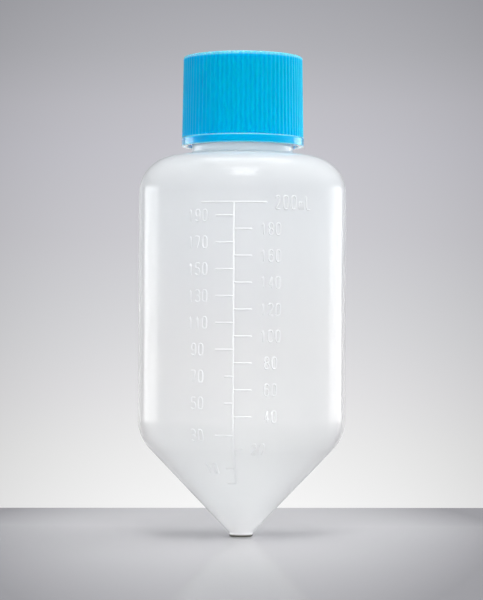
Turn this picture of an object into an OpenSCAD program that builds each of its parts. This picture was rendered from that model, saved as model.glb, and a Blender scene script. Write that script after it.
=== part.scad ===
// Conical-bottom centrifuge bottle with a ribbed screw cap and a seal disc.
// Millimetres, +Z up. The origin is the centre of the flat foot under the tip,
// and the scale faces -Y.

/* [Bottle body] */
// Outer diameter of the straight wall
body_d = 61; // [54:0.5:70]
// Height of the shoulder's top above the foot
body_h = 111.7; // [105:0.1:130]
// Thickness of the straight wall and the shoulder
body_wall = 1.5; // [1:0.1:2.5]
// Outer radius between the straight wall and the shoulder
shoulder_r = 11.3; // [7:0.1:13]
// Outer radius between the straight wall and the cone
corner_r = 13; // [8:0.5:16]

/* [Cone and tip] */
// Angle between the cone and the bottle's axis, in degrees
cone_angle = 43.8; // [40:0.1:48]
// Thickness of the cone's wall
cone_wall = 1.1; // [0.8:0.1:1.8]
// Diameter of the flat foot under the tip
foot_d = 7; // [6:0.5:9]
// Height of the foot's straight side
foot_h = 1.2; // [0.8:0.1:2]
// Thickness of plastic under the lowest point of the chamber
tip_floor = 1.6; // [1.2:0.1:2.4]

/* [Neck] */
// Outer diameter of the neck under its thread
neck_d = 29.9; // [27:0.1:33]
// Height of the neck's rim above the shoulder
neck_h = 26.1; // [22:0.1:32]
// Thickness of the neck's wall
neck_wall = 2.1; // [1.6:0.1:3]
// Radius between the shoulder and the neck
neck_fillet = 1.2; // [0.6:0.1:2]
// Chamfer on the edges of the neck's rim
rim_chamfer = 0.4; // [0.2:0.1:0.7]

/* [Screw thread] */
// Rise of the thread in one turn
thread_pitch = 4.23; // [3.6:0.01:5]
// Height of the thread's ridge above its wall
thread_h = 1; // [0.7:0.05:1.2]
// Width of the ridge where it meets its wall
ridge_base_w = 2.2; // [1.8:0.1:2.4]
// Width of the ridge's crest
ridge_crest_w = 1; // [0.6:0.1:1.2]
// Turns of thread on the neck
neck_turns = 1.75; // [1.5:0.25:2.25]
// Turns of thread in the cap
cap_turns = 1.5; // [1:0.25:1.5]
// Distance from the neck's rim down to the thread's upper end
thread_top = 2.2; // [1.8:0.1:3]
// Radial gap between a crest and the wall that faces it
crest_gap = 0.25; // [0.2:0.05:0.4]
// Gap along the axis between the two pressed sides of the thread
flank_gap = 0.2; // [0.15:0.05:0.4]

/* [Seal disc] */
// Thickness of the seal disc
seal_t = 1.5; // [1:0.1:2.5]
// Radial gap between the seal disc and the cap's skirt
seal_gap = 0.25; // [0.15:0.05:0.4]

/* [Cap] */
// Height of bare neck between the shoulder and the cap
cap_clear = 2.8; // [1.5:0.1:5]
// Thickness of the skirt between two ribs, at the top
skirt_wall = 1; // [0.8:0.1:1.6]
// Thickness of the cap's roof
roof_t = 1.6; // [1.2:0.1:2.4]
// Chamfer on the cap's top edge
cap_edge = 0.6; // [0.3:0.1:1]
// Radius of the bead that keeps the seal disc in the cap
bead_r = 0.5; // [0.35:0.05:0.6]

/* [Grip ribs] */
// Number of ribs around the cap
rib_count = 80; // [40:2:90]
// Height of a rib above the skirt, at the top
rib_h = 0.3; // [0.2:0.05:0.5]
// How much further the ribs stand out at the foot of the skirt
rib_draft = 0.4; // [0.1:0.1:0.8]
// Width of a rib
rib_w = 0.7; // [0.4:0.05:0.8]
// Height of the smooth band below the ribs
band_h = 2.5; // [1.5:0.1:4]
// How far the band stands out past the ribs
band_out = 0.15; // [0.1:0.05:0.5]
// Chamfer on the band's edges
band_edge = 0.3; // [0.2:0.05:0.6]

/* [Scale] */
// Turn of the scale away from the front, to the viewer's right, in degrees
scale_turn = -4.6; // [-180:0.1:180]
// Height of the full line above the foot
full_line_z = 96.5; // [80:0.1:98]
// Volume at the full line, in millilitres
full_volume = 200; // [160:20:200]
// Volume of the lowest line, in millilitres
least_volume = 5; // [5:1:8]
// Height of the lines and digits above the wall
relief = 0.2; // [0.1:0.05:0.25]
// Width of the lines
line_w = 0.6; // [0.3:0.05:0.7]
// Length of a line beside the stem
tick_l = 5.2; // [4:0.1:6.5]
// Length of a short line, used at the lower volumes
short_tick_l = 2.6; // [2:0.1:4]
// Half length of the full line
full_line_half = 9.4; // [8:0.1:11]
// Height of a digit
digit_h = 3.7; // [3:0.1:4.5]
// Width of a digit
digit_w = 1.7; // [1.4:0.05:2]
// Distance from one digit to the next, along the wall
digit_step = 2.2; // [2:0.05:2.6]
// Width of a digit's strokes
stroke_w = 0.42; // [0.3:0.02:0.5]
// Distance from the stem to the middle of a number, on the straight wall
number_reach = 10.6; // [10:0.1:12]
// Distance from the stem to the middle of a number, on the cone
low_number_reach = 6.8; // [6.5:0.1:8]
// Distance from the stem to the middle of the full line's number
full_number_reach = 17.6; // [17:0.1:20]
// Size of the full line's number against the others
full_number_size = 1.14; // [1:0.02:1.2]

/* [Hidden] */
$fn = 120;

BOTTLE_COLOR = [0.87, 0.89, 0.89];
SEAL_COLOR = [0.95, 0.95, 0.93];
CAP_COLOR = [0.02, 0.62, 0.85];

// How far a raised feature reaches into the wall that carries it
bite = 0.3;
// Steps in one turn of a thread, and in the run-out at each end of it
turn_steps = 48;
runout_steps = 4;

body_r = body_d / 2;
foot_r = foot_d / 2;
neck_r = neck_d / 2;
bore_r = neck_r - neck_wall;
neck_top = body_h + neck_h;
shoulder_z = body_h - shoulder_r;

outer_apex = foot_h - foot_r / tan(cone_angle);
inner_apex = outer_apex + cone_wall / sin(cone_angle);
tip_r = (tip_floor - inner_apex) / (1 / sin(cone_angle) - 1);

skirt_r = neck_r + thread_h + crest_gap;
cap_bottom = body_h + cap_clear;
roof_z = neck_top + seal_t;
cap_top = roof_z + roof_t;
groove_r = skirt_r + skirt_wall;
crest_top_r = groove_r + rib_h;
crest_foot_r = crest_top_r + rib_draft;
seal_r = skirt_r - seal_gap;
bead_z = neck_top - bead_r - flank_gap / 2;

// The two ridges lie side by side: half of each one's width, where they overlap
ridge_slope = (ridge_base_w - ridge_crest_w) / thread_h;
ridge_centres = ridge_base_w - ridge_slope * (thread_h + crest_gap) / 2;
cap_thread_drop = ridge_centres + flank_gap;
thread_bottom = neck_top - thread_top - neck_turns * thread_pitch;
cap_lead_turns = neck_turns - cap_turns;

// Volume, in cubic millimetres, under a millimetre of height in the straight wall
wall_area = PI * pow(body_r - body_wall, 2);

// Height of the corner arc's centre, for a wall radius, a cone apex and an arc radius
function corner_z(wall_r, apex, arc_r) =
    apex + (wall_r - arc_r + arc_r / cos(cone_angle)) / tan(cone_angle);

// Radius of the outer wall at height z, below the shoulder
function wall_r_at(z) =
    let (
        centre_z = corner_z(body_r, outer_apex, corner_r),
        centre_x = body_r - corner_r,
        drop = centre_z - z
    )
    z >= centre_z ? body_r
    : drop < corner_r * sin(cone_angle) ? centre_x + sqrt(corner_r * corner_r - drop * drop)
    : (z - outer_apex) * tan(cone_angle);

// Height of the level that holds a volume, in millilitres
function straight_z(volume) = full_line_z - (full_volume - volume) * 1000 / wall_area;
function cone_z(volume) =
    inner_apex + pow(3000 * volume / (PI * pow(tan(cone_angle), 2)), 1 / 3);
function level_z(volume) =
    straight_z(volume) < corner_z(body_r, outer_apex, corner_r) ? cone_z(volume)
    : straight_z(volume);

// ---- Outlines, drawn in the X-Y plane to the right of the axis ----

// Half of the body below the neck: cone, corner arc, straight wall and shoulder arc
module body_outline(wall_r, apex, corner, shoulder) {
    centre_z = corner_z(wall_r, apex, corner);
    tangent_x = wall_r - corner + corner * cos(cone_angle);
    tangent_z = centre_z - corner * sin(cone_angle);
    start_z = max(apex, 0);
    start_x = (start_z - apex) * tan(cone_angle);
    polygon([
        [0, start_z], [start_x, start_z], [tangent_x, tangent_z],
        [wall_r - corner, centre_z], [0, centre_z]
    ]);
    translate([wall_r - corner, centre_z]) circle(corner);
    translate([0, centre_z]) square([wall_r, shoulder_z - centre_z]);
    translate([wall_r - shoulder, shoulder_z]) circle(shoulder);
    translate([0, shoulder_z]) square([wall_r - shoulder, shoulder]);
}

// Outline of the outer surface, moved outwards by a distance
module outer_outline(out = 0) {
    body_outline(
        body_r + out, outer_apex - out / sin(cone_angle), corner_r + out, shoulder_r + out
    );
}

// Outline of the chamber, which ends in a round tip
module chamber_outline() {
    difference() {
        body_outline(
            body_r - body_wall, inner_apex, corner_r - body_wall, shoulder_r - body_wall
        );
        square([body_r, tip_floor + tip_r * (1 - sin(cone_angle))]);
    }
    intersection() {
        translate([0, tip_floor + tip_r]) circle(tip_r);
        translate([0, tip_floor]) square([tip_r, tip_r]);
    }
}

// Fillet in the corner between the shoulder and the neck
module neck_fillet_outline() {
    translate([neck_r - bite, body_h - bite]) difference() {
        square(neck_fillet + bite);
        translate([neck_fillet + bite, neck_fillet + bite]) circle(neck_fillet);
    }
}

// Half of the smooth band, with chamfered edges
module band_outline() {
    band_r = crest_foot_r + band_out;
    polygon([
        [0, 0], [band_r - band_edge, 0], [band_r, band_edge], [band_r, band_h - band_edge],
        [band_r - band_edge, band_h], [0, band_h]
    ]);
}

// Half of the surface that the rib crests lie on, with a chamfered edge at the top
module crest_outline() {
    polygon([
        [0, cap_bottom], [crest_foot_r, cap_bottom], [crest_top_r, cap_top - cap_edge],
        [crest_top_r - cap_edge, cap_top], [0, cap_top]
    ]);
}

// The skirt's cross-section: a rib reaches out past the crests at each step round it
module ribbed_section() {
    out_r = crest_foot_r + 1;
    polygon([
        for (i = [0 : rib_count - 1])
        let (middle = 360 * i / rib_count)
        each [
            for (corner = [[groove_r, -rib_w / 2], [out_r, -rib_w / 2], [out_r, rib_w / 2], [groove_r, rib_w / 2]])
            let (angle = middle + corner[1] / groove_r * 180 / PI)
            [corner[0] * cos(angle), corner[0] * sin(angle)]
        ]
    ]);
}

// ---- Screw thread ----

// Ridge that climbs a wall. It fades into the wall at both ends. The crest may lie
// outside the wall, as on the neck, or inside it, as in the cap.
module thread_ridge(wall_r, crest_side, bottom_z, lead_turns, turns) {
    steps = round(turns * turn_steps);
    root_r = wall_r - crest_side * bite;
    root_w = ridge_base_w + ridge_slope * bite;
    rings = [
        for (i = [0 : steps])
        let (
            turned = lead_turns + turns * i / steps,
            fade = min(1, (min(i, steps - i) + 0.4) / runout_steps),
            rise = (thread_h + bite) * fade,
            crest_r = root_r + crest_side * rise,
            crest_w = root_w - ridge_slope * rise,
            z = bottom_z + turned * thread_pitch,
            across = [cos(360 * turned), sin(360 * turned)]
        )
        [
            [each across * root_r, z - root_w / 2],
            [each across * crest_r, z - crest_w / 2],
            [each across * crest_r, z + crest_w / 2],
            [each across * root_r, z + root_w / 2]
        ]
    ];
    sides = [
        for (i = [0 : steps - 1], j = [0 : 3])
        let (a = 4 * i + j, b = 4 * i + (j + 1) % 4)
        each [[a, a + 4, b + 4], [a, b + 4, b]]
    ];
    ends = [[0, 1, 2, 3], [for (j = [3 : -1 : 0]) 4 * steps + j]];
    faces = concat(sides, ends);
    polyhedron(
        points = [for (ring = rings) each ring],
        faces = crest_side < 0 ? faces : [for (face = faces) reversed(face)]
    );
}

// ---- Scale ----

function unit(v) = v / norm(v);
function left_of(v) = [-v[1], v[0]];

// Point i of a path moved sideways, mitred between the lines that meet there
function beside(path, i, closed, distance) =
    let (
        n = len(path),
        first = !closed && i == 0,
        last = !closed && i == n - 1,
        before = unit(first ? path[1] - path[0] : path[i] - path[(i + n - 1) % n]),
        after = unit(last ? path[i] - path[i - 1] : path[(i + 1) % n] - path[i]),
        a = left_of(before),
        b = left_of(after)
    )
    path[i] + distance * (a + b) / (1 + a * b);

function beside_all(path, closed, distance) =
    [for (i = [0 : len(path) - 1]) beside(path, i, closed, distance)];

function reversed(list) = [for (i = [len(list) - 1 : -1 : 0]) list[i]];

// Eight-sided loop, as wide as a digit, between two heights
function loop(low, high) = [
    [0.25, low], [0.75, low], [1, low + 0.18], [1, high - 0.18],
    [0.75, high], [0.25, high], [0, high - 0.18], [0, low + 0.18]
];

// The closed and the open lines of each character, on a square one unit wide and high
function loops(character) =
    character == "0" ? [loop(0, 1)]
    : character == "6" ? [loop(0, 0.58)]
    : character == "8" ? [loop(0, 0.52), loop(0.52, 1)]
    : character == "9" ? [loop(0.42, 1)]
    : [];
function strokes(character) =
    character == "1" ? [[[0.2, 0.78], [0.6, 1], [0.6, -0.06]]]
    : character == "2" ? [[[0, 0.8], [0.25, 1], [0.75, 1], [1, 0.8], [1, 0.6], [0, 0], [1.1, 0]]]
    : character == "3" ? [
        [[0, 0.85], [0.25, 1], [0.75, 1], [1, 0.82], [1, 0.68], [0.55, 0.52]],
        [[0.3, 0.52], [0.75, 0.52], [1, 0.36], [1, 0.18], [0.75, 0], [0.25, 0], [0, 0.15]]
    ]
    : character == "4" ? [[[1.1, 0.3], [0, 0.3], [0.72, 1]], [[0.72, 1.06], [0.72, -0.06]]]
    : character == "5" ? [
        [[1, 1], [0.05, 1], [0.05, 0.58], [0.75, 0.58], [1, 0.4], [1, 0.2], [0.75, 0], [0.25, 0], [0, 0.15]]
    ]
    : character == "6" ? [[[1, 0.85], [0.75, 1], [0.3, 1], [0, 0.8], [0, 0.3]]]
    : character == "7" ? [[[-0.1, 1], [1, 1], [0.35, -0.06]]]
    : character == "9" ? [[[0, 0.15], [0.25, 0], [0.7, 0], [1, 0.2], [1, 0.7]]]
    : character == "m" ? [
        [[0, -0.06], [0, 0.55], [0.4, 0.55], [0.5, 0.45], [0.5, -0.06]],
        [[0.4, 0.55], [0.9, 0.55], [1, 0.45], [1, -0.06]]
    ]
    : character == "L" ? [[[0, 1.06], [0, 0], [1, 0]]]
    : [];

// One character, drawn about its middle
module character_shape(character) {
    span = [digit_w - stroke_w, digit_h - stroke_w];
    function sized(path) = [for (p = path) [(p[0] - 0.5) * span[0], (p[1] - 0.5) * span[1]]];
    for (path = loops(character)) {
        difference() {
            polygon(beside_all(sized(path), true, -stroke_w / 2));
            polygon(beside_all(sized(path), true, stroke_w / 2));
        }
    }
    for (path = strokes(character)) {
        line = sized(path);
        polygon(concat(
            beside_all(line, false, -stroke_w / 2),
            reversed(beside_all(line, false, stroke_w / 2))
        ));
    }
}

// Pushes a drawing out through the front wall, from a distance in front of the axis
module through_front(from) {
    rotate([90, 0, 0])
        translate([0, 0, from])
        linear_extrude(body_r + 1 - from)
        children();
}

// A number on the wall, its middle at a distance along the wall from the stem
module number(digits, reach, z, size = 1) {
    wall_r = wall_r_at(z);
    for (i = [0 : len(digits) - 1]) {
        along = reach + (i - (len(digits) - 1) / 2) * digit_step * size;
        rotate([0, 0, along / wall_r * 180 / PI])
            through_front(wall_r - digit_h)
            translate([0, z])
            scale(size)
            character_shape(digits[i]);
    }
}

// The volumes between the lowest and the full line. Odd tens stand to the left of the
// stem and even tens to the right.
VOLUMES = [10 : 10 : full_volume - 10];
function side_of(volume) = volume % 20 == 0 ? 1 : -1;
function tick_length(volume) =
    volume <= 20 || volume == 50 || volume == 70 ? short_tick_l : tick_l;

// A line across the scale, between two distances from the stem
module tick(from, to, z) {
    translate([min(from, to), z - line_w / 2]) square([abs(to - from), line_w]);
}

// The stem with all its lines
module scale_lines() {
    low_z = cone_z(least_volume);
    through_front(wall_r_at(low_z) - digit_h) {
        translate([-line_w / 2, low_z]) square([line_w, full_line_z - low_z]);
        tick(-full_line_half, full_line_half, full_line_z);
        tick(0, -short_tick_l, low_z);
        for (volume = VOLUMES) tick(0, side_of(volume) * tick_length(volume), level_z(volume));
    }
}

// The numbers beside the lines
module scale_numbers() {
    number(str(full_volume, "mL"), full_number_reach, full_line_z, full_number_size);
    for (volume = VOLUMES) {
        reach = volume <= 20 ? low_number_reach : number_reach;
        number(str(volume), side_of(volume) * reach, level_z(volume));
    }
}

// The thin skin, on both sides of the outer surface, that the marks are cut from
module mark_skin() {
    rotate_extrude() intersection() {
        difference() {
            outer_outline(relief);
            outer_outline(-bite);
        }
        translate([0, foot_h + 1]) square([body_d, shoulder_z - foot_h - 1]);
    }
}

// ---- Pieces ----

// Bottle: one moulding of body, neck, thread and raised scale
module bottle() {
    color(BOTTLE_COLOR) {
        difference() {
            union() {
                rotate_extrude() {
                    outer_outline();
                    square([foot_r, foot_h + bite]);
                    neck_fillet_outline();
                    translate([0, body_h - shoulder_r]) polygon([
                        [0, 0], [neck_r, 0], [neck_r, shoulder_r + neck_h - rim_chamfer],
                        [neck_r - rim_chamfer, shoulder_r + neck_h], [0, shoulder_r + neck_h]
                    ]);
                }
                thread_ridge(neck_r, 1, thread_bottom, 0, neck_turns);
                rotate([0, 0, scale_turn]) {
                    intersection() {
                        mark_skin();
                        scale_lines();
                    }
                    intersection() {
                        mark_skin();
                        scale_numbers();
                    }
                }
            }
            rotate_extrude() {
                chamber_outline();
                translate([0, body_h - shoulder_r]) square([bore_r, shoulder_r + neck_h + 1]);
            }
        }
    }
}

// Seal disc: soft disc between the neck's rim and the cap's roof
module seal_disc() {
    color(SEAL_COLOR) translate([0, 0, neck_top]) cylinder(h = seal_t, r = seal_r);
}

// Cap: roof, ribbed skirt, smooth band, bead for the seal disc and inner thread
module cap() {
    color(CAP_COLOR) {
        difference() {
            union() {
                intersection() {
                    translate([0, 0, cap_bottom]) linear_extrude(cap_top - cap_bottom) ribbed_section();
                    rotate_extrude() crest_outline();
                }
                translate([0, 0, cap_bottom]) rotate_extrude() band_outline();
            }
            translate([0, 0, cap_bottom - 1]) cylinder(h = roof_z - cap_bottom + 1, r = skirt_r);
        }
        rotate_extrude() intersection() {
            translate([skirt_r, bead_z]) circle(bead_r);
            translate([0, cap_bottom]) square([skirt_r + bite, roof_z - cap_bottom]);
        }
        thread_ridge(skirt_r, -1, thread_bottom - cap_thread_drop, cap_lead_turns, cap_turns);
    }
}

bottle();
seal_disc();
cap();
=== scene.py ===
from math import asin, cos, pi, radians, sin, sqrt, tan, tau

import bmesh
import bpy
from mathutils import Matrix, Vector


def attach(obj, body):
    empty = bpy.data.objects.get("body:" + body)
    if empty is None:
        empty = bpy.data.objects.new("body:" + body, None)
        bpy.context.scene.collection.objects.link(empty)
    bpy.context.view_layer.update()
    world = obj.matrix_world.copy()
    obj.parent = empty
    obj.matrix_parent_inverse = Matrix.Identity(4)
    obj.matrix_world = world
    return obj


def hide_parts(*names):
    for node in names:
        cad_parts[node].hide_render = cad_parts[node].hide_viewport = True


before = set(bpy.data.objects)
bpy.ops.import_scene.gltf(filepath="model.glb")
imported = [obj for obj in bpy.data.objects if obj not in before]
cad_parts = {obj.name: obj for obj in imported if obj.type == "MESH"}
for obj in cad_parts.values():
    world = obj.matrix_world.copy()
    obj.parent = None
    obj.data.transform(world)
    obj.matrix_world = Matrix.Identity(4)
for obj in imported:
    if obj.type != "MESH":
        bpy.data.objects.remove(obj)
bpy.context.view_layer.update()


# ---- Bottle -----------------------------------------------------------------
# One hollow moulding of natural polypropylene, milky and semi-gloss: a flat foot,
# a cone, a straight wall, a round shoulder and a plain neck. The mould leaves the
# outside smooth and the foot's lower edge slightly round. Sizes are in millimetres.

MM = 0.001
MERGE = 1e-4
ROUND_STEPS = 192

BODY_R = 30.49
BODY_TOP = 111.7
BODY_WALL = 1.5
SHOULDER_R = 11.3
CORNER_R = 13.0
CONE_ANGLE = radians(43.8)
CONE_WALL = 1.1
FOOT_R = 3.5
FOOT_H = 1.2
FOOT_EDGE = 0.55
FOOT_HOLLOW = 0.12
TIP_FLOOR = 1.6
NECK_R = 14.95
NECK_H = 26.1
NECK_WALL = 2.1
NECK_FILLET = 1.2
RIM_ROUND = 0.4
THROAT_ROUND = 0.5

# Where the foot's side bends out into the cone: how far out, and how far up or down
# from the foot's top edge
FOOT_FLARE = ((0.0, -0.3), (0.04, -0.1), (0.14, 0.1), (0.3, 0.3))

neck_top = BODY_TOP + NECK_H
bore_r = NECK_R - NECK_WALL
shoulder_z = BODY_TOP - SHOULDER_R
outer_apex = FOOT_H - FOOT_R / tan(CONE_ANGLE)
inner_apex = outer_apex + CONE_WALL / sin(CONE_ANGLE)
tip_r = (TIP_FLOOR - inner_apex) / (1 / sin(CONE_ANGLE) - 1)


def corner_z(wall_r, apex, arc_r):
    """Height of the centre of the arc between the cone and the straight wall."""
    return apex + (wall_r - arc_r + arc_r / cos(CONE_ANGLE)) / tan(CONE_ANGLE)


straight_bottom = corner_z(BODY_R, outer_apex, CORNER_R)


class Outline:
    """Half of a turned shape, drawn from point to point in the plane y = 0."""

    LOOP_MARGIN = 0.35

    def __init__(self, x, z):
        self.bm = bmesh.new()
        self.tip = self.bm.verts.new((x, 0, z))

    def point(self, x, z):
        """A straight edge to the next point."""
        self.tip = bmesh.ops.extrude_vert_indiv(self.bm, verts=[self.tip])["verts"][0]
        self.tip.co = (x, 0, z)

    def line(self, x, z):
        """A long straight edge, with a point close to each end that keeps it flat."""
        start = self.tip.co.copy()
        step = (Vector((x, 0, z)) - start).normalized() * self.LOOP_MARGIN
        self.point(start.x + step.x, start.z + step.z)
        self.point(x - step.x, z - step.z)
        self.point(x, z)

    def arc(self, centre_x, centre_z, turn, steps):
        """An arc round a centre: a turn above 0 goes from +X towards +Z."""
        swept = bmesh.ops.spin(
            self.bm, geom=[self.tip], cent=(centre_x, 0, centre_z), axis=(0, -1, 0),
            angle=turn, steps=steps,
        )
        self.tip = next(v for v in swept["geom_last"] if isinstance(v, bmesh.types.BMVert))

    def turned(self):
        """The closed solid that the outline makes when it goes round the axis."""
        bmesh.ops.spin(
            self.bm, geom=self.bm.verts[:] + self.bm.edges[:], cent=(0, 0, 0),
            axis=(0, 0, 1), angle=tau, steps=ROUND_STEPS, use_merge=True,
        )
        bmesh.ops.remove_doubles(self.bm, verts=self.bm.verts, dist=MERGE)
        bmesh.ops.recalc_face_normals(self.bm, faces=self.bm.faces)
        return self.bm


def made(name, bm, material, sharp=radians(40)):
    """Turns a finished mesh in millimetres into an object in metres."""
    bmesh.ops.scale(bm, vec=(MM, MM, MM), verts=bm.verts)
    mesh = bpy.data.meshes.new(name)
    bm.to_mesh(mesh)
    bm.free()
    mesh.shade_smooth()
    mesh.set_sharp_from_angle(angle=sharp)
    mesh.materials.append(material)
    piece = bpy.data.objects.new(name, mesh)
    bpy.context.scene.collection.objects.link(piece)
    return piece


class Shade:
    """An output socket of a material's node. Sums and products on it add Math nodes."""

    def __init__(self, tree, socket=None):
        self.tree = tree
        self.socket = socket

    def node(self, kind, settings=None, inputs=None, output=0):
        """A node of a kind, with its settings first and then its sockets' values or links."""
        node = self.tree.nodes.new("ShaderNode" + kind)
        for name, value in (settings or {}).items():
            if name == "stops":
                while len(node.color_ramp.elements) < len(value):
                    node.color_ramp.elements.new(0.5)
                for element, (place, color) in zip(node.color_ramp.elements, value):
                    element.position = place
                    element.color = color
            else:
                setattr(node, name, value)
        for name, value in (inputs or {}).items():
            if isinstance(value, Shade):
                self.tree.links.new(value.socket, node.inputs[name])
            else:
                node.inputs[name].default_value = value
        return Shade(self.tree, node.outputs[output] if node.outputs else None)

    def out(self, name):
        """Another output of the same node."""
        return Shade(self.tree, self.socket.node.outputs[name])

    def math(self, operation, first, second=0.0):
        """A Math node for what has no sign in Python."""
        return self.node("Math", {"operation": operation}, {0: first, 1: second})

    def __add__(self, other):
        return self.math("ADD", self, other)

    def __mul__(self, other):
        return self.math("MULTIPLY", self, other)

    def __sub__(self, other):
        return self.math("SUBTRACT", self, other)

    def __rsub__(self, other):
        return self.math("SUBTRACT", other, self)

    __radd__ = __add__
    __rmul__ = __mul__

    def between(self, low, high):
        """Goes from 0 to 1 as the value goes from low to high."""
        return self.node(
            "MapRange", {"interpolation_type": "SMOOTHSTEP"},
            {"Value": self, "From Min": low, "From Max": high},
        )

    def mix(self, factor, first, second):
        """A colour between two others."""
        return self.node(
            "Mix", {"data_type": "RGBA"}, {0: factor, 6: first, 7: second}, output=2
        )


def material_named(name):
    """An empty material, as the Shade that its nodes are made from."""
    material = bpy.data.materials.new(name)
    material.use_nodes = True
    material.node_tree.nodes.clear()
    return material, Shade(material.node_tree)


def finished(shade, surface):
    """Joins the last shader to the material's output."""
    shade.node("OutputMaterial", inputs={"Surface": surface})


def rgb(red, green, blue):
    """A colour with its alpha."""
    return (red, green, blue, 1.0)


# Heights in metres between which the plastic's tone or clearness changes. Its tone
# changes are painted light and shade, not the plastic's own colour.
WALL_SHADE_TO_CAP_GLOW = (0.05, 0.104)
NECK_STARTS = (0.1115, 0.1125)
# Between these heights the cone's tone turns paler, which is painted light
TIP_PAINTED_LIGHT = (0.002, 0.038)
# Under these heights the foot's lowest edge turns dark: a painted contact shadow
PAINTED_CONTACT_SHADOW = (0.0004, 0.0009)
CONE_THINS = (0.026, 0.038)
TIP_CLOSES = (0.002, 0.012)

# The neck's bluish tone is painted blue light from the cap
NECK_CAP_GLOW_TONE = rgb(0.83, 0.9, 0.94)
# The dark tone of the painted contact shadow along the foot's lowest edge
PAINTED_CONTACT_SHADOW_TONE = rgb(0.12, 0.12, 0.1)
CLOUD_TONE = rgb(0.975, 0.98, 0.985)
CLEAR_TONE = rgb(0.98, 0.99, 0.99)
# The wall's tones differ by painted light: the upper is bluer and lighter, a painted glow
# from the cap; the lower is darker, painted shade; the tip is paler, painted light
WALL_LOOK = {
    "upper": rgb(0.84, 0.864, 0.882), "lower": rgb(0.752, 0.747, 0.748),
    "tip": rgb(0.96, 0.965, 0.97), "roughness": 0.08, "depth": 0.3,
}


def milky_plastic(name, upper, lower, tip, roughness, depth, clear=0.0, thin_clear=0.0):
    """Natural polypropylene, faintly cloudy, with painted light in its colour: a blue glow
    from the cap high on the wall and on the neck, shade low on the wall, a paler tip that
    stands in for light through it, and a contact shadow along the foot's lowest edge.

    Its depth is the share of light that it scatters inside. A part of the light goes
    straight through: clear in the thick walls, and thin_clear in the cone.
    """
    material, shade = material_named(name)
    place = shade.node("TexCoord").out("Object")
    height = shade.node("SeparateXYZ", inputs={0: place}).out("Z")
    clouds = shade.node(
        "TexNoise", inputs={"Vector": place, "Scale": 38.0, "Detail": 3.0, "Roughness": 0.55}
    )
    flecks = shade.node(
        "TexNoise", inputs={"Vector": place, "Scale": 900.0, "Detail": 2.0, "Roughness": 0.6}
    )
    # The tone's changes with height are painted light: a blue glow from the cap, shade low on
    # the wall, light at the pale tip and a contact shadow along the foot's lowest edge
    wall = shade.mix(height.between(*WALL_SHADE_TO_CAP_GLOW), lower, upper)
    wall = shade.mix(height.between(*NECK_STARTS), wall, NECK_CAP_GLOW_TONE)
    wall = shade.mix(height.between(*TIP_PAINTED_LIGHT), tip, wall)
    wall = shade.mix(height.between(*PAINTED_CONTACT_SHADOW), PAINTED_CONTACT_SHADOW_TONE, wall)
    haze = shade.mix(clouds.between(0.3, 0.7), CLOUD_TONE, rgb(1, 1, 1))
    cloudy = shade.node(
        "Mix", {"data_type": "RGBA", "blend_type": "MULTIPLY"}, {0: 1.0, 6: wall, 7: haze},
        output=2,
    )
    grain = shade.node(
        "Bump", inputs={"Strength": 0.06, "Distance": 0.00004, "Height": flecks}
    )
    body = shade.node("BsdfPrincipled", inputs={
        "Base Color": cloudy,
        "Roughness": roughness + 0.05 * clouds,
        "Normal": grain,
        "IOR": 1.49,
        "Specular IOR Level": 0.5,
        "Subsurface Weight": depth,
        "Subsurface Radius": (1.0, 1.0, 1.0),
        "Subsurface Scale": 0.002,
    })
    if clear > 0:
        within = shade.node("NewGeometry").out("Backfacing")
        slant = shade.node("LayerWeight", inputs={"Blend": 0.5}).out("Facing")
        thin = clear + (thin_clear - clear) * (1 - height.between(*CONE_THINS))
        thin = thin * (1 - height.between(*NECK_STARTS))
        seen = thin * (1 - slant * slant) * height.between(*TIP_CLOSES)
        through = shade.node(
            "BsdfRefraction", inputs={"Color": CLEAR_TONE, "Roughness": 0.3, "IOR": 1.2}
        )
        body = shade.node(
            "MixShader", inputs={0: shade.math("MAXIMUM", seen, within), 1: body, 2: through}
        )
    finished(shade, body)
    return material


bottle_plastic = milky_plastic("bottle_plastic", **WALL_LOOK, clear=0.35, thin_clear=0.5)
inner_plastic = milky_plastic("bottle_inside", **WALL_LOOK, clear=0.9, thin_clear=0.9)


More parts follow.
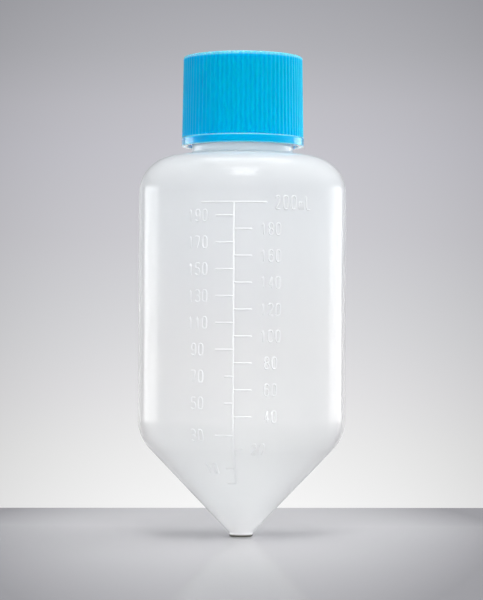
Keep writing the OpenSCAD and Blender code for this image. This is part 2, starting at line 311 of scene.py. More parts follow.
def bottle_outline():
    """Outer side from the foot up to the rim, then the inner side down to the tip."""
    inner_bottom = corner_z(BODY_R - BODY_WALL, inner_apex, CORNER_R - BODY_WALL)
    corner_x = BODY_R - CORNER_R
    shoulder_x = BODY_R - SHOULDER_R
    ceiling_z = BODY_TOP - BODY_WALL
    outline = Outline(0, FOOT_HOLLOW)
    outline.point(FOOT_R * 0.5, FOOT_HOLLOW - 0.02)
    outline.point(FOOT_R - 2 * FOOT_EDGE, 0)
    outline.point(FOOT_R - FOOT_EDGE, 0)
    outline.arc(FOOT_R - FOOT_EDGE, FOOT_EDGE, pi / 2, steps=6)
    for out, up in FOOT_FLARE:
        outline.point(FOOT_R + out, FOOT_H + up)
    outline.line(
        corner_x + CORNER_R * cos(CONE_ANGLE), straight_bottom - CORNER_R * sin(CONE_ANGLE)
    )
    outline.arc(corner_x, straight_bottom, CONE_ANGLE, steps=20)
    outline.line(BODY_R, shoulder_z)
    outline.arc(shoulder_x, shoulder_z, pi / 2, steps=28)
    outline.point(NECK_R + NECK_FILLET, BODY_TOP)
    outline.arc(NECK_R + NECK_FILLET, BODY_TOP + NECK_FILLET, -pi / 2, steps=8)
    outline.line(NECK_R, neck_top - RIM_ROUND)
    outline.arc(NECK_R - RIM_ROUND, neck_top - RIM_ROUND, pi / 2, steps=5)
    outline.point(bore_r + RIM_ROUND, neck_top)
    outline.arc(bore_r + RIM_ROUND, neck_top - RIM_ROUND, pi / 2, steps=5)
    outline.line(bore_r, ceiling_z + THROAT_ROUND)
    outline.arc(bore_r + THROAT_ROUND, ceiling_z + THROAT_ROUND, pi / 2, steps=5)
    outline.point(shoulder_x, ceiling_z)
    outline.arc(shoulder_x, shoulder_z, -pi / 2, steps=20)
    outline.line(BODY_R - BODY_WALL, inner_bottom)
    outline.arc(corner_x, inner_bottom, -CONE_ANGLE, steps=14)
    outline.line(tip_r * cos(CONE_ANGLE), TIP_FLOOR + tip_r * (1 - sin(CONE_ANGLE)))
    outline.arc(0, TIP_FLOOR + tip_r, CONE_ANGLE - pi / 2, steps=10)
    return outline


# The faces of the inside take the second material
bottle_mesh = bottle_outline().turned()
for face in bottle_mesh.faces:
    middle = face.calc_center_median()
    inwards = face.normal.x * middle.x + face.normal.y * middle.y < 0
    tip_floor = middle.z < TIP_FLOOR + tip_r and face.normal.z > 0.5
    face.material_index = int(inwards or tip_floor)
shell = made("bottle_shell", bottle_mesh, bottle_plastic, radians(50))
shell.data.materials.append(inner_plastic)
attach(shell, "bottle")
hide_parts("bottle")


# ---- Neck thread ------------------------------------------------------------
# One ridge of the same polypropylene, moulded on the neck in one and three quarter
# right-handed turns. It fades into the neck at both ends.

THREAD_PITCH = 4.23
THREAD_H = 1.0
RIDGE_BASE_W = 2.2
RIDGE_CREST_W = 1.0
NECK_TURNS = 1.75
THREAD_TOP = 2.2
BITE = 0.3
CREST_DROP = 0.2
CREST_ROUND = 0.12
TURN_STEPS = 96

# The ridge's ends: the share of its height there, the least one, and its gain a turn
END_SHARE = 0.1
LEAST_SHARE = 0.05
SHARE_PER_TURN = 12

thread_bottom = neck_top - THREAD_TOP - NECK_TURNS * THREAD_PITCH
ridge_slope = (RIDGE_BASE_W - RIDGE_CREST_W) / THREAD_H


def thread_ridge(wall_r, side, bottom_z, lead_turns, turns):
    """A ridge that climbs a wall, outwards for side 1 and inwards for side -1.

    It starts a number of turns round from +X, and fades into the wall at both ends.
    """
    root_w = RIDGE_BASE_W + ridge_slope * BITE
    crest_w = RIDGE_CREST_W
    root_r = wall_r - side * BITE
    crest_r = wall_r + side * THREAD_H
    below_r = crest_r - side * CREST_DROP
    bm = bmesh.new()
    section = [
        bm.verts.new((r, 0, bottom_z + z))
        for r, z in (
            (root_r, -root_w / 2), (below_r, -crest_w / 2 - CREST_ROUND),
            (crest_r, -crest_w / 2 + CREST_ROUND), (crest_r, crest_w / 2 - CREST_ROUND),
            (below_r, crest_w / 2 + CREST_ROUND), (root_r, root_w / 2),
        )
    ]
    edges = [bm.edges.new((a, b)) for a, b in zip(section, section[1:] + section[:1])]
    start = Matrix.Translation((0, 0, lead_turns * THREAD_PITCH)) @ Matrix.Rotation(
        tau * lead_turns, 4, "Z"
    )
    bmesh.ops.transform(bm, matrix=start, verts=section)
    steps = round(turns * TURN_STEPS)
    bmesh.ops.spin(
        bm, geom=section + edges, cent=(0, 0, 0), axis=(0, 0, 1), angle=tau * turns,
        steps=steps, dvec=(0, 0, THREAD_PITCH * turns / steps),
    )
    for vert in bm.verts:
        r = Vector(vert.co[:2]).length
        angle = Vector((1, 0)).angle_signed(Vector(vert.co[:2]), 0) / -tau
        rise = (vert.co.z - bottom_z) / THREAD_PITCH
        turned = angle + round(rise - angle) - lead_turns
        share = min(turned, turns - turned) * SHARE_PER_TURN + END_SHARE
        new_r = root_r + (r - root_r) * sqrt(min(1.0, max(LEAST_SHARE, share)))
        vert.co.x *= new_r / r
        vert.co.y *= new_r / r
    bmesh.ops.holes_fill(bm, edges=bm.edges)
    bmesh.ops.recalc_face_normals(bm, faces=bm.faces)
    return bm


neck_thread = made(
    "neck_thread", thread_ridge(NECK_R, 1, thread_bottom, 0, NECK_TURNS), bottle_plastic
)
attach(neck_thread, "bottle")


# ---- Volume scale -----------------------------------------------------------
# Raised lines and numbers, moulded on the front wall with the bottle. A ball cutter
# sank them into the mould, so their tops are round. Their tones are whiter than the
# wall's, a painted sheen, and change with height like the wall's painted light.

SCALE_TURN = radians(-4.6)
FULL_LINE_Z = 96.5
FULL_VOLUME = 200
LEAST_VOLUME = 5
VOLUME_STEP = 10
RELIEF = 0.19
LINE_W = 0.6
TICK_L = 5.2
SHORT_TICK_L = 2.6
SHORT_TICKS = (10, 20, 50, 70)
FULL_LINE_HALF = 9.4
DIGIT_H = 3.7
DIGIT_W = 1.7
DIGIT_STEP = 2.2
STROKE_W = 0.42
NUMBER_REACH = 10.6
LOW_NUMBERS = (10, 20)
LOW_NUMBER_REACH = 6.8
FULL_NUMBER_REACH = 17.6
FULL_NUMBER_SIZE = 1.14
MM3_PER_ML = 1000

# The cut of a number's corner, as a share of its side, and a line's end: how far it
# tapers and to what width, as shares of the line's width
CORNER_CUT = 0.18
END_TAPER_L = 0.3
END_TAPER_W = 0.45

# Whiter than the wall: a painted sheen, with the wall's painted light and shade
raised_plastic = milky_plastic(
    "raised_plastic", upper=rgb(0.88, 0.895, 0.905), lower=rgb(0.85, 0.855, 0.86),
    tip=rgb(0.88, 0.885, 0.89), roughness=0.34, depth=0.0,
)


def wall_r_at(z):
    """Radius of the outer wall at a height below the shoulder."""
    drop = straight_bottom - z
    if drop <= 0:
        return BODY_R
    if drop < CORNER_R * sin(CONE_ANGLE):
        return BODY_R - CORNER_R + sqrt(CORNER_R**2 - drop**2)
    return (z - outer_apex) * tan(CONE_ANGLE)


def level_z(volume):
    """Height of the level that holds a volume, in millilitres."""
    wall_area = pi * (BODY_R - BODY_WALL) ** 2
    straight_z = FULL_LINE_Z - (FULL_VOLUME - volume) * MM3_PER_ML / wall_area
    if straight_z >= straight_bottom:
        return straight_z
    cone_share = pi / 3 * tan(CONE_ANGLE) ** 2
    return inner_apex + (volume * MM3_PER_ML / cone_share) ** (1 / 3)


def loop(low, high):
    """A closed round line, as wide as a character, between two heights."""
    low_side, high_side = low + 0.18, high - 0.18
    return [
        (0.25, low), (0.75, low), (1, low_side), (1, high_side),
        (0.75, high), (0.25, high), (0, high_side), (0, low_side),
    ]


# The closed and the open lines of each character, on a square one unit wide and high
LOOPS = {
    "0": [loop(0, 1)], "6": [loop(0, 0.58)], "8": [loop(0, 0.52), loop(0.52, 1)],
    "9": [loop(0.42, 1)],
}
STROKES = {
    "1": [[(0.2, 0.78), (0.6, 1), (0.6, 0)]],
    "2": [[(0, 0.8), (0.25, 1), (0.75, 1), (1, 0.8), (1, 0.6), (0, 0), (1.05, 0)]],
    "3": [
        [(0, 0.85), (0.25, 1), (0.75, 1), (1, 0.82), (1, 0.68), (0.7, 0.53), (0.35, 0.52)],
        [(0.5, 0.52), (0.75, 0.51), (1, 0.36), (1, 0.18), (0.75, 0), (0.25, 0), (0, 0.15)],
    ],
    "4": [[(1.1, 0.3), (0, 0.3), (0.72, 1)], [(0.72, 1), (0.72, 0)]],
    "5": [[
        (1, 1), (0.05, 1), (0.05, 0.58), (0.75, 0.58), (1, 0.4), (1, 0.2), (0.75, 0),
        (0.25, 0), (0, 0.15),
    ]],
    "6": [[(1, 0.85), (0.75, 1), (0.3, 1), (0, 0.8), (0, 0.3)]],
    "7": [[(-0.05, 1), (1, 1), (0.35, 0)]],
    "9": [[(0, 0.15), (0.25, 0), (0.7, 0), (1, 0.2), (1, 0.7)]],
    "m": [
        [(0, 0), (0, 0.55), (0.4, 0.55), (0.5, 0.45), (0.5, 0)],
        [(0.45, 0.55), (0.9, 0.55), (1, 0.45), (1, 0)],
    ],
    "L": [[(0, 1), (0, 0), (1, 0)]],
}


def softened(path, closed):
    """The path with each of its corners cut in two."""
    n = len(path)
    pairs = [(path[i], path[(i + 1) % n]) for i in range(n if closed else n - 1)]
    cut = [
        (a[0] + (b[0] - a[0]) * share, a[1] + (b[1] - a[1]) * share)
        for a, b in pairs
        for share in (CORNER_CUT, 1 - CORNER_CUT)
    ]
    return cut if closed else [path[0]] + cut[1:-1] + [path[-1]]


def stroke(curve, path, closed, width, turn=0.0):
    """Lays one round-topped line on the wall, from a flat path drawn in front of it."""
    points = []
    for x, z in path:
        r = wall_r_at(z) + RELIEF - width / 2
        angle = asin(x / wall_r_at(z)) + turn + SCALE_TURN
        points.append(Vector((r * sin(angle), -r * cos(angle), z)))
    if not closed:
        first, last = points[0], points[-1]
        after = first + (points[1] - first).normalized() * width * END_TAPER_L
        before = last + (points[-2] - last).normalized() * width * END_TAPER_L
        points = [first, after, *points[1:-1], before, last]
    spline = curve.splines.new("POLY")
    spline.points.add(len(points) - 1)
    spline.use_cyclic_u = closed
    for i, (spot, place) in enumerate(zip(spline.points, points)):
        spot.co = (*(place * MM), 1)
        at_end = not closed and i in (0, len(points) - 1)
        spot.radius = width / LINE_W * (END_TAPER_W if at_end else 1)


def straight(start, end, pieces):
    """A straight path in short pieces, which can follow the wall's curve."""
    across, up = end[0] - start[0], end[1] - start[1]
    return [
        (start[0] + across * i / pieces, start[1] + up * i / pieces)
        for i in range(pieces + 1)
    ]


def number(curve, text, reach, z, size=1.0):
    """A number on the wall, its middle at a distance along the wall from the stem."""
    span = ((DIGIT_W - STROKE_W) * size, (DIGIT_H - STROKE_W) * size)
    for i, character in enumerate(text):
        along = reach + (i - (len(text) - 1) / 2) * DIGIT_STEP * size
        turn = along / wall_r_at(z)
        shapes = [(path, True) for path in LOOPS.get(character, [])]
        shapes += [(path, False) for path in STROKES.get(character, [])]
        for path, closed in shapes:
            path = softened(path, closed)
            path = [((x - 0.5) * span[0], z + (y - 0.5) * span[1]) for x, y in path]
            stroke(curve, path, closed, STROKE_W * size, turn)


def volume_scale():
    """The stem, its lines and the numbers, as one mesh."""
    curve = bpy.data.curves.new("volume_scale_lines", "CURVE")
    curve.dimensions = "3D"
    curve.bevel_depth = LINE_W / 2 * MM
    curve.bevel_resolution = 2
    curve.use_fill_caps = True
    low_z = level_z(LEAST_VOLUME)
    stem = straight((0, low_z), (0, straight_bottom), pieces=24) + [(0, FULL_LINE_Z)]
    full = straight((-FULL_LINE_HALF, FULL_LINE_Z), (FULL_LINE_HALF, FULL_LINE_Z), pieces=12)
    least = straight((0, low_z), (-SHORT_TICK_L, low_z), pieces=3)
    for line in (stem, full, least):
        stroke(curve, line, False, LINE_W)
    number(curve, f"{FULL_VOLUME}mL", FULL_NUMBER_REACH, FULL_LINE_Z, FULL_NUMBER_SIZE)
    for volume in range(VOLUME_STEP, FULL_VOLUME, VOLUME_STEP):
        side = 1 if volume % (2 * VOLUME_STEP) == 0 else -1
        z = level_z(volume)
        length = SHORT_TICK_L if volume in SHORT_TICKS else TICK_L
        stroke(curve, straight((0, z), (side * length, z), pieces=4), False, LINE_W)
        reach = LOW_NUMBER_REACH if volume in LOW_NUMBERS else NUMBER_REACH
        number(curve, str(volume), side * reach, z)
    drawn = bpy.data.objects.new("volume_scale_lines", curve)
    bpy.context.scene.collection.objects.link(drawn)
    graph = bpy.context.evaluated_depsgraph_get()
    mesh = bpy.data.meshes.new_from_object(drawn.evaluated_get(graph))
    bpy.data.objects.remove(drawn)
    bm = bmesh.new()
    bm.from_mesh(mesh)
    bpy.data.meshes.remove(mesh)
    bmesh.ops.scale(bm, vec=(1 / MM,) * 3, verts=bm.verts)
    bmesh.ops.remove_doubles(bm, verts=bm.verts, dist=MERGE)
    bmesh.ops.recalc_face_normals(bm, faces=bm.faces)
    return bm


scale = made("volume_scale", volume_scale(), raised_plastic, radians(60))
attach(scale, "bottle")


# ---- Seal disc --------------------------------------------------------------
# A soft round disc punched from white polyethylene foam. It lies loose above the
# cap's bead and is clamped between the neck's rim and the cap's roof.

SEAL_R = 15.95
SEAL_T = 1.5
SEAL_EDGE = 0.15


def foam():
    """Closed-cell foam: fine round cells, matt, slightly uneven in tone."""
    material, shade = material_named("seal_foam")
    place = shade.node("TexCoord").out("Object")
    cells = shade.node("TexVoronoi", inputs={"Vector": place, "Scale": 2600.0})
    patches = shade.node("TexNoise", inputs={"Vector": place, "Scale": 160.0, "Detail": 2.0})
    finished(shade, shade.node("BsdfPrincipled", inputs={
        "Base Color": shade.mix(
            patches.between(0.35, 0.65), rgb(0.82, 0.82, 0.79), rgb(0.87, 0.87, 0.85)
        ),
        "Roughness": 0.75,
        "Normal": shade.node(
            "Bump", inputs={"Strength": 0.5, "Distance": 0.0001, "Height": cells}
        ),
    }))
    return material


disc = Outline(0, neck_top)
disc.line(SEAL_R - SEAL_EDGE, neck_top)
disc.arc(SEAL_R - SEAL_EDGE, neck_top + SEAL_EDGE, pi / 2, steps=4)
disc.point(SEAL_R, neck_top + SEAL_T - SEAL_EDGE)
disc.arc(SEAL_R - SEAL_EDGE, neck_top + SEAL_T - SEAL_EDGE, pi / 2, steps=4)
disc.line(0, neck_top + SEAL_T)
seal = made("seal_disc_foam", disc.turned(), foam())
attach(seal, "seal_disc")
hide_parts("seal_disc")


# ---- Cap --------------------------------------------------------------------
# One moulding of light blue polyethylene: a roof with a shallow dish, a skirt with
# eighty round ribs that run up over its edge, and a smooth band at the foot. Inside
# are the bead under the seal disc and a thread of one and a half turns.

CAP_CLEAR = 2.8
CAP_TURNS = 1.5
CREST_GAP = 0.25
FLANK_GAP = 0.2
SKIRT_WALL = 1.0
ROOF_T = 1.6
CAP_EDGE = 0.6
BEAD_R = 0.5
RIB_COUNT = 80
RIB_H = 0.3
RIB_DEPTH = 0.2
RIB_DRAFT = 0.4
RIB_START = 0.05
RIB_MERGE = 1e-3
BAND_H = 2.5
BAND_OUT = 0.15
BAND_EDGE = 0.3
DISH = 0.1
GATE_R = 1.3
GATE_DEPTH = 0.15
CENTRE_R = 0.3

skirt_r = NECK_R + THREAD_H + CREST_GAP
crest_top_r = skirt_r + SKIRT_WALL + RIB_H
crest_foot_r = crest_top_r + RIB_DRAFT
band_r = crest_foot_r + BAND_OUT
cap_bottom = BODY_TOP + CAP_CLEAR
roof_z = neck_top + SEAL_T
cap_top = roof_z + ROOF_T
band_top = cap_bottom + BAND_H
edge_z = cap_top - CAP_EDGE
bead_z = neck_top - BEAD_R - FLANK_GAP / 2

# Rings of the dish inside the roof's edge: radius, and depth below the edge
DISH_RINGS = ((12.0, 0.04), (6.0, 0.08), (GATE_R + 0.2, DISH), (GATE_R, DISH + 0.02))

# How far across one rib's pitch, and how much of the rib's height is reached there
RIB_SHAPE = (
    (-0.5, 0.0), (-0.4, 0.05), (-0.3, 0.32), (-0.2, 0.7), (-0.1, 0.93), (0.0, 1.0),
    (0.1, 0.93), (0.2, 0.7), (0.3, 0.32), (0.4, 0.05), (0.5, 0.0),
)

# The blue, a darker blue that is painted shade on one side, a paler blue that is a painted
# highlight on the edges, and the span in metres where the painted shade fades
BLUE = rgb(0.0, 0.455, 0.805)
SHADED_BLUE = rgb(0.0, 0.37, 0.755)
HIGHLIGHT_BLUE = rgb(0.35, 0.75, 0.88)
SHADED_SIDE = (-0.017, -0.004)


def blue_plastic():
    """Blue polyethylene with a fine silky grain.

    Its colour has painted shade on one side, broken up by faint flow noise, and paler
    painted highlights along its edges.
    """
    material, shade = material_named("cap_plastic")
    place = shade.node("TexCoord").out("Object")
    flow = shade.node(
        "TexNoise", inputs={"Vector": place, "Scale": 90.0, "Detail": 3.0, "Distortion": 0.6}
    )
    grain = shade.node("TexNoise", inputs={"Vector": place, "Scale": 2400.0, "Detail": 2.0})
    spot = shade.node("SeparateXYZ", inputs={0: place})
    height = spot.out("Z")
    # Painted shade on the cap's side towards -X, broken up by the flow noise
    side_shade = (1 - spot.out("X").between(*SHADED_SIDE)) * flow.between(0.1, 0.5)
    foot, band, edge, tenth = cap_bottom * MM, band_top * MM, edge_z * MM, 0.1 * MM
    ribbed = height.between(band - 2 * tenth, band + tenth)
    ribbed = ribbed * (1 - height.between(edge - tenth, edge + tenth))
    # Painted highlights: the top edge, the band's top edge and the foot's edge are paler
    band_edge = height.between(band - 4 * tenth, band - tenth)
    band_edge = band_edge * (1 - height.between(band, band + 2 * tenth))
    foot_edge = 1 - height.between(foot, foot + 4 * tenth)
    edge_highlight = height.between(edge - 6 * tenth, edge) + band_edge + foot_edge
    blue = shade.mix(side_shade, BLUE, SHADED_BLUE)
    finished(shade, shade.node("BsdfPrincipled", inputs={
        "Base Color": shade.mix(0.55 * edge_highlight, blue, HIGHLIGHT_BLUE),
        "Roughness": 0.14 + 0.06 * flow + 0.24 * ribbed,
        "Normal": shade.node(
            "Bump", inputs={"Strength": 0.1, "Distance": 0.00003, "Height": grain}
        ),
        "IOR": 1.4,
        "Specular IOR Level": 0.12,
        "Specular Tint": rgb(0.1, 0.85, 1.0),
        "Coat Weight": 1 - ribbed,
        "Coat Roughness": 0.1,
        "Subsurface Weight": 1.0,
        "Subsurface Radius": (0.2, 0.7, 1.0),
        "Subsurface Scale": 0.004,
    }))
    return material


def crest_at(z):
    """Radius of a rib's crest at a height on the skirt."""
    share = (edge_z - z) / (edge_z - cap_bottom)
    return crest_top_r + RIB_DRAFT * share


def skirt_levels():
    """Each level up the outside: its height, and its radius where it has no ribs."""
    quarter = [pi / 2 * i / 4 for i in range(5)]
    levels = [
        (cap_bottom + BAND_EDGE * (1 - cos(a)), band_r - BAND_EDGE * (1 - sin(a)))
        for a in quarter
    ]
    levels += [
        (band_top - BAND_EDGE * (1 - sin(a)), band_r - BAND_EDGE * (1 - cos(a)))
        for a in quarter
    ]
    levels.append((band_top + RIB_START, None))
    levels += [(band_top + (edge_z - band_top) * i / 6, None) for i in range(1, 7)]
    levels += [(cap_top - CAP_EDGE * (1 - sin(pi / 2 * i / 7)), None) for i in range(1, 8)]
    return levels


def ribbed_radius(z, rib_height):
    """Radius of the ribbed outside, where a rib reaches a share of its height."""
    r = crest_at(min(z, edge_z)) - RIB_DEPTH * (1 - rib_height)
    if z > edge_z:
        over = z - edge_z
        r = min(r, crest_top_r - CAP_EDGE + sqrt(max(CAP_EDGE**2 - over**2, 0)))
    return r


def ring_to(bm, ring, r, z):
    """Grows a closed ring of edges to another radius and height."""
    grown = bmesh.ops.extrude_edge_only(bm, edges=ring)["geom"]
    verts = [g for g in grown if isinstance(g, bmesh.types.BMVert)]
    for vert in verts:
        spot = Vector(vert.co[:2]).normalized() * r
        vert.co = (spot.x, spot.y, z)
    loop_verts = set(verts)
    return [
        g for g in grown
        if isinstance(g, bmesh.types.BMEdge) and loop_verts.issuperset(g.verts)
    ]


def cap_shell():
    """One rib's pitch of the outside, repeated round the axis, then roof and inside."""
    levels = skirt_levels()
    bm = bmesh.new()
    grid = bmesh.ops.create_grid(
        bm, x_segments=len(RIB_SHAPE) - 1, y_segments=len(levels) - 1, size=0.5
    )["verts"]
    for vert in grid:
        across, rib_height = RIB_SHAPE[round((vert.co.x + 0.5) * (len(RIB_SHAPE) - 1))]
        z, smooth_r = levels[round((vert.co.y + 0.5) * (len(levels) - 1))]
        r = smooth_r or ribbed_radius(z, rib_height)
        angle = across * tau / RIB_COUNT
        vert.co = (r * cos(angle), r * sin(angle), z)
    bmesh.ops.spin(
        bm, geom=bm.verts[:] + bm.edges[:] + bm.faces[:], cent=(0, 0, 0), axis=(0, 0, 1),
        angle=tau * (RIB_COUNT - 1) / RIB_COUNT, steps=RIB_COUNT - 1, use_duplicate=True,
    )
    bmesh.ops.remove_doubles(bm, verts=bm.verts, dist=RIB_MERGE)
    rim = [e for e in bm.edges if e.is_boundary]
    top = [e for e in rim if e.verts[0].co.z > roof_z]
    foot = [e for e in rim if e.verts[0].co.z < roof_z]
    gate_z = cap_top - DISH - GATE_DEPTH
    roof = [(crest_top_r - CAP_EDGE - 0.4, cap_top)]
    roof += [(r, cap_top - depth) for r, depth in DISH_RINGS]
    roof += [(GATE_R - 0.1, gate_z), (CENTRE_R, gate_z)]
    for r, z in roof:
        top = ring_to(bm, top, r, z)
    mouth = [
        (skirt_r + 0.5, cap_bottom), (skirt_r + 0.2, cap_bottom + 0.1),
        (skirt_r, cap_bottom + 0.4), (skirt_r, bead_z - BEAD_R - 0.2),
    ]
    bead = [
        (skirt_r - BEAD_R * sin(pi * i / 8), bead_z - BEAD_R * cos(pi * i / 8))
        for i in range(9)
    ]
    ceiling = [
        (skirt_r, roof_z - 0.4), (skirt_r - 0.12, roof_z - 0.12), (skirt_r - 0.4, roof_z),
        (8.0, roof_z), (CENTRE_R, roof_z),
    ]
    for r, z in mouth + bead + ceiling:
        foot = ring_to(bm, foot, r, z)
    bmesh.ops.holes_fill(bm, edges=[e for e in bm.edges if e.is_boundary])
    bmesh.ops.recalc_face_normals(bm, faces=bm.faces)
    return bm


cap_plastic = blue_plastic()
cap = made("cap_shell", cap_shell(), cap_plastic, radians(55))
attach(cap, "cap")
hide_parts("cap")

# The cap's ridge runs just under the neck's, with a gap between their flanks
ridge_centres = RIDGE_BASE_W - ridge_slope * (THREAD_H + CREST_GAP) / 2
cap_ridge = thread_ridge(
    skirt_r, -1, thread_bottom - ridge_centres - FLANK_GAP, NECK_TURNS - CAP_TURNS, CAP_TURNS
)
cap_thread = made("cap_thread", cap_ridge, cap_plastic)
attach(cap_thread, "cap")


# ---- Table and backdrop -----------------------------------------------------
# A pale table top with a polished clear coat, a straight back edge and a painted pool
# of light round the bottle. Behind it is a plain backdrop that is brightest at the
# level of the table.

TABLE_BACK = 123
TABLE_DEPTH = 1723
TABLE_W = 3200
TABLE_T = 30
TABLE_EDGE = 1
TABLE_SKEW = radians(3.4)
TABLE_TONE = rgb(0.86, 0.86, 0.875)
TABLE_DARK = rgb(0.0, 0.0, 0.015)

# How the table's tone darkens away from a painted pool of light just behind the bottle,
# which also lightens the bottle's shadow, with places in metres. The darkening to the
# front, the sides and the right is painted falloff of that light, and its clouds vary
# at random
PAINTED_POOL_Y = 0.04
PAINTED_POOL_DIM = 0.075
DIM_BY_DEPTH = 1.9
DIM_TO_RIGHT = 0.5
DIM_TO_SIDES = 76.0
DIM_CLOUDS = 0.02
MOST_DIM = 0.65


def table_top():
    """The table: one slab with a narrow round edge, turned a little from square."""
    material, shade = material_named("table_surface")
    place = shade.node("TexCoord").out("Object")
    spot = shade.node("SeparateXYZ", inputs={0: place})
    x = spot.out("X")
    dim = PAINTED_POOL_DIM + DIM_BY_DEPTH * shade.math("ABSOLUTE", spot.out("Y") - PAINTED_POOL_Y)
    dim = dim + DIM_TO_RIGHT * x
    dim = dim + DIM_TO_SIDES * (x * x)
    cloud = shade.node("TexNoise", inputs={"Vector": place, "Scale": 6.0, "Detail": 2.0})
    dim = shade.math("MAXIMUM", dim + DIM_CLOUDS * cloud, 0.0)
    dim = shade.math("MINIMUM", dim, MOST_DIM)
    matt = shade.node("BsdfDiffuse", inputs={"Color": shade.mix(dim, TABLE_TONE, TABLE_DARK)})
    gloss = shade.node("BsdfGlossy", inputs={"Roughness": 0.005})
    finished(shade, shade.node("MixShader", inputs={0: 0.3, 1: matt, 2: gloss}))
    bm = bmesh.new()
    bmesh.ops.create_cube(bm, size=1)
    bmesh.ops.scale(bm, vec=(TABLE_W, TABLE_DEPTH, TABLE_T), verts=bm.verts)
    bmesh.ops.bevel(
        bm, geom=bm.edges[:], affect="EDGES", offset=TABLE_EDGE, segments=3, profile=0.5,
        material=-1,
    )
    bmesh.ops.translate(bm, vec=(0, -TABLE_DEPTH / 2, -TABLE_T / 2), verts=bm.verts)
    bmesh.ops.rotate(
        bm, cent=(0, 0, 0), matrix=Matrix.Rotation(TABLE_SKEW, 3, "Z"), verts=bm.verts
    )
    bmesh.ops.translate(bm, vec=(0, TABLE_BACK, 0), verts=bm.verts)
    return made("table_top", bm, material, radians(10))


table_top()

# Heights of the backdrop's tones, as the sine of the angle above the horizon
BACKDROP = (
    (-0.068, rgb(0.925, 0.925, 0.925)), (-0.045, rgb(0.86, 0.86, 0.86)),
    (-0.02, rgb(0.785, 0.78, 0.795)), (0.002, rgb(0.72, 0.72, 0.74)),
    (0.02, rgb(0.675, 0.675, 0.70)), (0.045, rgb(0.62, 0.615, 0.65)),
    (0.08, rgb(0.57, 0.565, 0.61)), (0.1, rgb(0.53, 0.525, 0.565)),
    (0.124, rgb(0.445, 0.445, 0.475)), (0.15, rgb(0.38, 0.38, 0.41)),
)
RAMP_LOW = -0.2
RAMP_HIGH = 0.3
SIDE_FALL = 18
LEAST_SIDE = 0.8

# The room in front of the backdrop is darker than it, and the turn is where it starts
ROOM_LEVEL = 0.1
ROOM_TURN = (-0.5, 0.3)

# The soft light from all round: its strength at the horizon and overhead, the share
# that is even, and what is added towards the right
AMBIENT_TONE = rgb(0.97, 0.98, 1.0)
AMBIENT_LOW = 0.85
AMBIENT_HIGH = 0.3
AMBIENT_EVEN = 0.3
AMBIENT_RIGHT = 1.7

world = bpy.data.worlds.new("studio")
bpy.context.scene.world = world
world.use_nodes = True
world.node_tree.nodes.clear()
studio = Shade(world.node_tree)
direction = studio.node("SeparateXYZ", inputs={0: studio.node("TexCoord").out("Generated")})
level = (direction.out("Z") - RAMP_LOW) * (1 / (RAMP_HIGH - RAMP_LOW))
tones = studio.node(
    "ValToRGB",
    {"stops": [((z - RAMP_LOW) / (RAMP_HIGH - RAMP_LOW), tone) for z, tone in BACKDROP]},
    {"Fac": level},
)
sideways = direction.out("X") * direction.out("X")
falloff = studio.math("MAXIMUM", 1 - SIDE_FALL * sideways, LEAST_SIDE)

# The eye, gloss and clear plastic see the backdrop. All that lights a matt surface is
# the soft light.
rays = studio.node("LightPath")
seen = studio.math(
    "MAXIMUM", rays.out("Is Camera Ray"),
    studio.math("MAXIMUM", rays.out("Is Glossy Ray"), rays.out("Is Transmission Ray")),
)
seen = seen * (1 - studio.math("MINIMUM", rays.out("Diffuse Depth"), 1.0))
ahead = direction.out("Y").between(*ROOM_TURN)
room = ROOM_LEVEL + (1 - ROOM_LEVEL) * ahead
backdrop = studio.node("Background", inputs={"Color": tones, "Strength": falloff * room})
upwards = direction.out("Z").between(0.0, 1.0)
around = AMBIENT_LOW + (AMBIENT_HIGH - AMBIENT_LOW) * upwards
rightwards = studio.math("MAXIMUM", direction.out("X"), 0.0)
around = around * (AMBIENT_EVEN + AMBIENT_RIGHT * rightwards)
ambient = studio.node("Background", inputs={"Color": AMBIENT_TONE, "Strength": around})
studio.node("OutputWorld", inputs={
    "Surface": studio.node("MixShader", inputs={0: seen, 1: ambient, 2: backdrop})
})


# ---- Lights and camera ------------------------------------------------------
# A wide softbox overhead, a smaller one above the front, and strip boxes on both sides
# behind the bottle, which draw the bright lines along its wall. Two fill lamps light
# the front, and three narrow low ones the cone. The camera looks slightly up.

# Places and sizes of the lamps and the camera are in metres
STRIP_AIM = (0, 0, 0.08)
LOW_AIM = (0, 0, 0.03)
LOW_SIZE = 0.12
LOW_BEAM = radians(16)


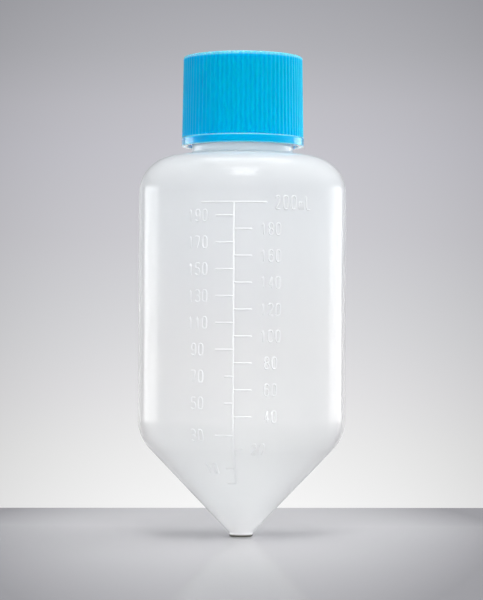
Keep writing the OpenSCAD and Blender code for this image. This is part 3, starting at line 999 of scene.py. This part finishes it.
def softbox(name, spot, aim, width, height, watts, mirrored=True, beam=pi):
    """A soft rectangular lamp that faces a point. A fill lamp isn't mirrored in gloss."""
    lamp = bpy.data.lights.new(name, "AREA")
    lamp.shape = "RECTANGLE"
    lamp.size = width
    lamp.size_y = height
    lamp.energy = watts
    lamp.spread = beam
    box = bpy.data.objects.new(name, lamp)
    box.location = spot
    box.rotation_mode = "QUATERNION"
    box.rotation_quaternion = (Vector(aim) - Vector(spot)).to_track_quat("-Z", "Y")
    box.visible_camera = False
    box.visible_glossy = mirrored
    bpy.context.scene.collection.objects.link(box)


def low_fill(name, spot, watts):
    """A small lamp with a grid, which keeps its narrow beam on the cone."""
    softbox(name, spot, LOW_AIM, LOW_SIZE, LOW_SIZE, watts, mirrored=False, beam=LOW_BEAM)


softbox("overhead_box", (0.08, -0.04, 1.0), (0.08, -0.04, 0), 0.79, 0.86, 5.3)
softbox("front_box", (0.02, -0.55, 0.82), (0, 0, 0.09), 0.36, 0.4, 3.0)
softbox("left_strip", (-0.53, 0.3, 0.1), STRIP_AIM, 0.34, 0.22, 0.61)
softbox("left_edge_strip", (-0.26, 0.55, 0.1), STRIP_AIM, 0.24, 0.22, 0.045)
softbox("right_strip", (0.5, 0.36, 0.1), STRIP_AIM, 0.34, 0.22, 0.555)
softbox("left_fill", (-0.75, -0.6, 0.12), STRIP_AIM, 0.5, 0.3, 2.2, mirrored=False)
softbox("front_fill", (0.2, -1.1, 0.1), STRIP_AIM, 0.5, 0.3, 2.0, mirrored=False)
low_fill("left_low_fill", (-0.7, -0.44, 0.06), 0.014)
low_fill("left_side_low_fill", (-0.85, -0.12, 0.03), 0.01)
low_fill("right_low_fill", (0.72, -0.4, 0.06), 0.02)

CAMERA_SPOT = (-0.00015, -0.7, 0.0562)
CAMERA_PITCH = radians(1.08)
CAMERA_ROLL = radians(0.26)

camera_data = bpy.data.cameras.new("camera")
camera_data.lens = 142.8
camera_data.sensor_width = 36
camera_data.clip_start = 0.01
camera_data.clip_end = 20
camera = bpy.data.objects.new("camera", camera_data)
turn = Matrix.Rotation(pi / 2 + CAMERA_PITCH, 4, "X") @ Matrix.Rotation(CAMERA_ROLL, 4, "Z")
camera.matrix_world = Matrix.Translation(CAMERA_SPOT) @ turn
bpy.context.scene.collection.objects.link(camera)
bpy.context.scene.camera = camera
bpy.context.scene.view_settings.view_transform = "Standard"

bpy.context.view_layer.update()
